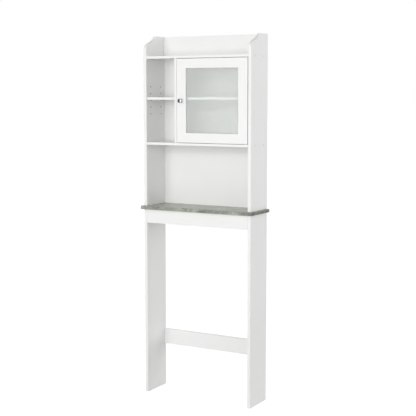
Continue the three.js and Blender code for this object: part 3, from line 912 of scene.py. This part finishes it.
def cross_recess(place, axis, size, depth):
    """Two crossed slots, cut by a cross-head driver, that go in against axis."""
    turn = Vector((0, 0, 1)).rotation_difference(Vector(axis)).to_matrix().to_4x4()
    width = 0.26 * size
    bm = bmesh.new()
    for x, y in ((size / 2, width / 2), (width / 2, size / 2)):
        made = bmesh.ops.create_cube(bm, size=1)["verts"]
        bmesh.ops.scale(bm, vec=(2 * x, 2 * y, 2 * depth), verts=made)
    bmesh.ops.transform(bm, matrix=Matrix.Translation(Vector(place)) @ turn, verts=bm.verts)
    return from_bmesh("recess", bm)


def pan_screw(node, shank_radius, head_radius, head_height):
    """A cross-head screw whose head is at the high end of its axis."""
    tip, axis, start, length = round_node(node)
    direction = Vector([float(i == axis) for i in range(3)])
    tip[axis] = start
    under = length - head_height
    profile = [
        (0, 0),
        (0.3 * shank_radius, 0.4 * MM),
        (shank_radius, 3 * MM),
        (shank_radius, under),
        (head_radius, under),
        (head_radius, under + 0.25 * head_height),
    ]
    profile += bezier(
        [
            (head_radius, under + 0.25 * head_height),
            (head_radius, under + 0.8 * head_height),
            (0.6 * head_radius, length),
            (0, length),
        ],
        8,
    )
    screw = turned(f"{node}_head", profile, direction, tip, FASTENER_STEPS)
    top = tip + direction * length
    recess = cross_recess(top, direction, 1.1 * head_radius, 0.6 * head_height)
    subtract(screw, recess, crossing=True)
    stand_in(screw, node, angle=50)


def hinge_pin(end, direction):
    """A steel pivot pin with bevelled ends, along direction."""
    low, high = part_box(f"hinge_pin_{end}")
    middle = (low + high) / 2
    radius = (high.x - low.x) / 2
    length = high.z - low.z
    tip = 0.5 * MM
    profile = [
        (0, 0),
        (radius - tip, 0),
        (radius, tip),
        (radius, length - tip),
        (radius - tip, length),
        (0, length),
    ]
    start = (middle.x, middle.y, low.z if direction > 0 else high.z)
    axis = (0, 0, direction)
    pin = turned(f"hinge_pin_{end}_steel", profile, axis, start, FASTENER_STEPS)
    stand_in(pin, f"hinge_pin_{end}")


def hinge_bush(end, direction):
    """The nylon bush of a pivot pin, with its flange on the door's side."""
    low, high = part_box(f"hinge_bush_{end}")
    middle = round_node(f"hinge_pin_{end}")[0]
    flange = (high.x - low.x) / 2
    length = high.z - low.z
    bore = 2.8 * MM
    barrel = 4 * MM
    thick = 1.2 * MM
    soft = 0.25 * MM
    profile = [
        (bore + soft, 0),
        (flange - soft, 0),
        (flange, soft),
        (flange, thick - soft),
        (flange - soft, thick),
        (barrel, thick),
        (barrel, length - soft),
        (barrel - soft, length),
        (bore, length),
        (bore, soft),
        (bore + soft, 0),
    ]
    start = (middle.x, middle.y, low.z if direction > 0 else high.z)
    bush = turned(f"hinge_bush_{end}_nylon", profile, (0, 0, direction), start)
    stand_in(bush, f"hinge_bush_{end}")


def magnetic_catch():
    """A moulded case with two steel pole plates and a dark magnet between them."""
    low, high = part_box("magnetic_catch")
    recess = Vector((2.2 * MM, 3 * MM, 6 * MM))
    slot_low = Vector((low.x + recess.x, low.y - OVERSHOOT, low.z + recess.z))
    slot_high = Vector((high.x - recess.x, low.y + recess.y, high.z - recess.z))
    case = rounded_box("magnetic_catch_case", low, high, 1.2 * MM, 3)
    cut(case, [plain_box("slot", slot_low, slot_high)])
    cut(case, fastener_bores("magnetic_catch"))
    stand_in(case, "magnetic_catch")

    gap = 0.15 * MM
    plate = 1.2 * MM
    inner_low = slot_low + Vector((gap, OVERSHOOT + gap, gap))
    inner_high = slot_high - Vector((gap, gap, gap))
    parts = [
        ("catch_pole_inner", inner_low.x, inner_low.x + plate, 0.0, "steel_fittings"),
        ("catch_pole_outer", inner_high.x - plate, inner_high.x, 0.0, "steel_fittings"),
        ("catch_magnet", inner_low.x + plate + gap, inner_high.x - plate - gap, 0.8 * MM, None),
    ]
    for name, x_low, x_high, sunk, slot in parts:
        block = rounded_box(
            name,
            (x_low, inner_low.y + sunk, inner_low.z),
            (x_high, inner_high.y, inner_high.z),
            0.2 * MM,
            2,
        )
        block.data.materials.append(MATERIALS[slot] if slot else MAGNET)
        shade(block)
        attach(block, BODY_OF["magnetic_catch"])


def strike_plate():
    """A thin plate with round corners and a hole for its screw."""
    low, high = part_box("strike_plate")
    corner = 3 * MM
    outline = [
        *arc((low.x + corner, low.z + corner), corner, 180, 270, 6),
        *arc((high.x - corner, low.z + corner), corner, 270, 360, 6),
        *arc((high.x - corner, high.z - corner), corner, 0, 90, 6),
        *arc((low.x + corner, high.z - corner), corner, 90, 180, 6),
    ]
    plate = extruded(
        "strike_plate_steel",
        outline,
        lambda point, y: (point[0], y, point[1]),
        low.y,
        high.y,
        0.15 * MM,
        2,
    )
    cut(plate, fastener_bores("strike_plate"))
    stand_in(plate, "strike_plate")


# ------------------------------------------------------------------ fittings and feet


def shelf_pin(node, towards_shelf):
    """A plated pin: a stem in the hole, a thin flange and a round peg under the shelf."""
    low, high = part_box(node)
    middle = (low + high) / 2
    length = high.x - low.x
    flange = (high.z - low.z) / 2
    radius = 2.5 * MM
    soft = 0.6 * MM
    rim = 0.2 * MM
    thick = 1 * MM
    peg = 6.7 * MM
    seat = length - peg - thick
    profile = [
        (0, 0),
        (radius - soft, 0),
        (radius, soft),
        (radius, seat),
        (flange - rim, seat),
        (flange, seat + rim),
        (flange, seat + thick - rim),
        (flange - rim, seat + thick),
        (radius, seat + thick),
        *arc((radius - soft, length - soft), soft, 0, 90, 4),
        (0, length),
    ]
    start = (low.x if towards_shelf > 0 else high.x, middle.y, middle.z)
    pin = turned(f"{node}_plated", profile, (towards_shelf, 0, 0), start, FASTENER_STEPS)
    stand_in(pin, node)


def cam_disc(board, side, sign):
    """A disc with a bevelled rim, a cross recess and a pocket for the bolt's head."""
    node = f"cam_disc_{board}_{side}"
    middle, axis, start, length = round_node(node)
    low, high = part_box(node)
    radius = (high.x - low.x) / 2
    opens = 1 if board == "crossbar" else -1
    direction = Vector([float(i == axis) * opens for i in range(3)])
    base = middle.copy()
    base[axis] = start if opens > 0 else start + length
    soft = 0.5 * MM
    rim = 1.6 * MM
    sunk = 0.5 * MM
    profile = [
        (0, 0),
        (radius - soft, 0),
        (radius, soft),
        (radius, length - soft),
        (radius - soft, length),
        (radius - rim, length),
        (radius - 2 * MM, length - sunk),
        (0, length - sunk),
    ]
    disc = turned(f"{node}_cast", profile, direction, base)
    bolt = round_node(f"cam_bolt_{board}_{side}")[0]
    bore = FASTENER_BORES["cam_bolt"]
    place = (middle.x, bolt.y, bolt.z)
    cut(disc, [rod("pocket", bore, 2 * radius, (sign, 0, 0), place, HOLE_STEPS)])
    recess = cross_recess(base + direction * length, direction, 9 * MM, 2.4 * MM)
    subtract(disc, recess, crossing=True)
    stand_in(disc, node)


def glide(side, column):
    """A nail-on floor glide with a softly domed sole."""
    node = f"glide_{side}_{column}"
    low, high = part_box(node)
    middle = (low + high) / 2
    radius = (high.x - low.x) / 2
    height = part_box(f"leg_panel_{side}")[0].z - 0.3 * MM
    nail = 1.5 * MM
    sole = 1.6 * MM
    rim = 0.3 * MM
    profile = [(0, 0), (radius - sole, 0)]
    profile += arc((radius - sole, sole), sole, 270, 360, 6)
    profile += [
        (radius, height - rim),
        (radius - rim, height),
        (nail, height),
        (nail, high.z - 2 * MM),
        (0, high.z),
    ]
    place = (middle.x, middle.y, 0)
    stand_in(turned(f"{node}_nylon", profile, (0, 0, 1), place), node)


def fittings():
    """The door's screws and pivots, the catch, the shelf pins, cam discs and glides."""
    for node, sizes in SCREWS.items():
        pan_screw(node, *sizes)
    for end, direction in (("top", 1), ("bottom", -1)):
        hinge_pin(end, direction)
        hinge_bush(end, direction)
    magnetic_catch()
    strike_plate()
    for side in ("left_outer", "left_inner", "right_inner", "right_outer"):
        towards_shelf = 1 if side in ("left_outer", "right_inner") else -1
        for column in ("front", "rear"):
            shelf_pin(f"shelf_pin_{side}_{column}", towards_shelf)
    for board in ("crossbar", "middle_shelf", "top_shelf"):
        for side, sign in SIDES.items():
            cam_disc(board, side, sign)
    for side in SIDES:
        for column in ("front", "rear"):
            glide(side, column)


def nail_places():
    """The (x, z) of the back's nails: up both edges and along the two long shelves."""
    low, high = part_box("back_panel")
    inset = 2.6 * MM
    spacing = 100 * MM
    height = high.z - low.z - 2 * spacing / 3
    count = round(height / spacing)
    places = [
        (x, low.z + spacing / 3 + index * (height / count))
        for x in (low.x + inset, high.x - inset)
        for index in range(count + 1)
    ]
    first = low.x + 4 * inset
    across = high.x - 4 * inset - first
    gaps = 5
    for board in ("middle_shelf", "top_shelf"):
        shelf_low, shelf_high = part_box(board)
        z = (shelf_low.z + shelf_high.z) / 2
        places += [(first + across * index / gaps, z) for index in range(gaps + 1)]
    return places


def back_nails():
    """Small domed nail heads that hold the hardboard back."""
    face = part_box("back_panel")[1].y
    radius = 1.6 * MM
    shank = 0.6 * MM
    proud = 0.35 * MM
    profile = [
        (0, -1.5 * MM),
        (shank, -1.5 * MM),
        (shank, 0),
        (radius, 0.02 * MM),
        (0.75 * radius, 0.7 * proud),
        (0.4 * radius, 0.95 * proud),
        (0, proud),
    ]
    heads = [turned("nail", profile, (0, 1, 0), (x, face, z), 16) for x, z in nail_places()]
    nails = join("back_panel_nails", heads)
    nails.data.materials.append(MATERIALS["zinc_fittings"])
    shade(nails, 60)
    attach(nails, BODY_OF["back_panel"])


def screw_caps():
    """White plastic caps outside the side panels, level with the two long shelves' ends."""
    radius = 5 * MM
    proud = 0.9 * MM
    soft = 0.5 * MM
    seat = 0.05 * MM
    profile = [(0, seat), (radius, seat)]
    profile += arc((radius - soft, proud - soft), soft, 0, 90, 4)
    profile.append((0, proud))
    for side, sign in SIDES.items():
        low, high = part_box(f"side_panel_{side}")
        face = low.x if sign < 0 else high.x
        heads = []
        for board in ("middle_shelf", "top_shelf"):
            shelf_low, shelf_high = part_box(board)
            z = (shelf_low.z + shelf_high.z) / 2
            for y in (low.y + CAP_INSET, high.y - CAP_INSET):
                place = (face, y, z)
                heads.append(turned("cap", profile, (sign, 0, 0), place, FASTENER_STEPS))
        caps = join(f"screw_caps_{side}", heads)
        caps.data.materials.append(MATERIALS["catch_plastic"])
        shade(caps, 40)
        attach(caps, BODY_OF[f"side_panel_{side}"])


def carried_over():
    """The CAD nodes that are kept as they are: dowels and bolts inside the boards."""
    for node, piece in frame["nodes"].items():
        if piece.hide_render:
            continue
        piece.data.materials.clear()
        piece.data.materials.append(MATERIALS[SLOT_OF[node]])


# ------------------------------------------------------------------ studio


def floor():
    """A wide pale floor for the camera, over a greyer one that gives the bounced light."""
    layers = {
        "studio_floor": (0, (0.92, 0.92, 0.92), (0.94, 0.94, 0.94)),
        "studio_ground": (-2 * MM, GROUND_SHADE, GROUND_SHADE),
    }
    for name, (height, first, second) in layers.items():
        bm = bmesh.new()
        bmesh.ops.create_circle(bm, cap_ends=True, radius=60, segments=96)
        bmesh.ops.translate(bm, vec=(0, 0, height), verts=bm.verts)
        disc = from_bmesh(name, bm)
        shader = Shader(name)
        colour = shader.blend(shader.noise(0.6, detail=3), first, second)
        roughness = shader.span(shader.noise(3, detail=3), 0.3, 0.7, 0.65, 0.75)
        disc.data.materials.append(shader.finish(colour, roughness))
        if name == "studio_floor":
            shader.set(Emission_Color=(1, 1, 1, 1), Emission_Strength=FLOOR_GLOW)
            disc.visible_diffuse = False
            disc.visible_glossy = False
            disc.visible_transmission = False
            disc.visible_shadow = False


def cards():
    """Cards seen only in polished metal, which give the knob its dark and light bands."""
    for name, (start, end, first, second, glow) in CARDS.items():
        bm = bmesh.new()
        corners = [(*start, 0), (*end, 0), (*end, CARD_HEIGHT), (*start, CARD_HEIGHT)]
        bm.faces.new([bm.verts.new(corner) for corner in corners])
        card = from_bmesh(name, bm)
        shader = Shader(name)
        shader.set(Emission_Color=(1, 1, 1, 1), Emission_Strength=glow)
        card.data.materials.append(
            shader.finish(shader.blend(shader.noise(4), first, second))
        )
        card.visible_camera = False
        card.visible_diffuse = False
        card.visible_transmission = False
        card.visible_shadow = False


def room_light():
    """A white room: an even white to the camera, and light that depends on direction."""
    world = bpy.data.worlds.new("studio")
    bpy.context.scene.world = world
    world.use_nodes = True
    tree = world.node_tree
    seen = tree.nodes["Background"]
    seen.inputs["Color"].default_value = (1, 1, 1, 1)
    direction = tree.nodes.new("ShaderNodeTexCoord")
    axes = tree.nodes.new("ShaderNodeSeparateXYZ")
    tree.links.new(direction.outputs["Generated"], axes.inputs["Vector"])
    product = tree.nodes.new("ShaderNodeMath")
    product.operation = "MULTIPLY"
    for socket, (axis, stops) in zip(product.inputs, ROOM_LIGHT.items()):
        spread = tree.nodes.new("ShaderNodeMapRange")
        spread.inputs["From Min"].default_value = -1
        tree.links.new(axes.outputs[axis], spread.inputs["Value"])
        levels = tree.nodes.new("ShaderNodeValToRGB")
        set_stops(levels, [((place + 1) / 2, (level,) * 3) for place, level in stops])
        tree.links.new(spread.outputs["Result"], levels.inputs["Fac"])
        tree.links.new(levels.outputs["Color"], socket)
    room = tree.nodes.new("ShaderNodeBackground")
    tree.links.new(product.outputs["Value"], room.inputs["Strength"])
    path = tree.nodes.new("ShaderNodeLightPath")
    mix = tree.nodes.new("ShaderNodeMixShader")
    tree.links.new(path.outputs["Is Camera Ray"], mix.inputs["Fac"])
    tree.links.new(room.outputs["Background"], mix.inputs[1])
    tree.links.new(seen.outputs["Background"], mix.inputs[2])
    tree.links.new(mix.outputs["Shader"], tree.nodes["World Output"].inputs["Surface"])


def softboxes():
    """The area lights, each aimed at the rack."""
    for name, (place, aim, width, height, power) in SOFTBOXES.items():
        data = bpy.data.lights.new(name, "AREA")
        data.shape = "RECTANGLE"
        data.size = width
        data.size_y = height
        data.energy = power
        light = bpy.data.objects.new(name, data)
        bpy.context.scene.collection.objects.link(light)
        light.location = place
        toward = Vector(aim) - Vector(place)
        light.rotation_euler = toward.to_track_quat("-Z", "Y").to_euler()
        light.visible_camera = False


def camera():
    """The view from the rack's front right, at the height of its door, tilted down a little."""
    data = bpy.data.cameras.new("camera")
    data.lens = CAMERA_LENS
    data.sensor_width = 36
    data.shift_y = CAMERA_SHIFT
    view = bpy.data.objects.new("camera", data)
    bpy.context.scene.collection.objects.link(view)
    view.location = CAMERA_PLACE
    view.rotation_euler = (math.radians(90 + CAMERA_PITCH), 0, math.radians(CAMERA_TURN))
    bpy.context.scene.camera = view


camera()
plain_boards()
divider()
side_panels()
back_panel()
countertop()
door()
pane()
glazing()
knob()
fittings()
back_nails()
screw_caps()
carried_over()
floor()
cards()
room_light()
softboxes()
bpy.context.scene.view_settings.view_transform = "Standard"
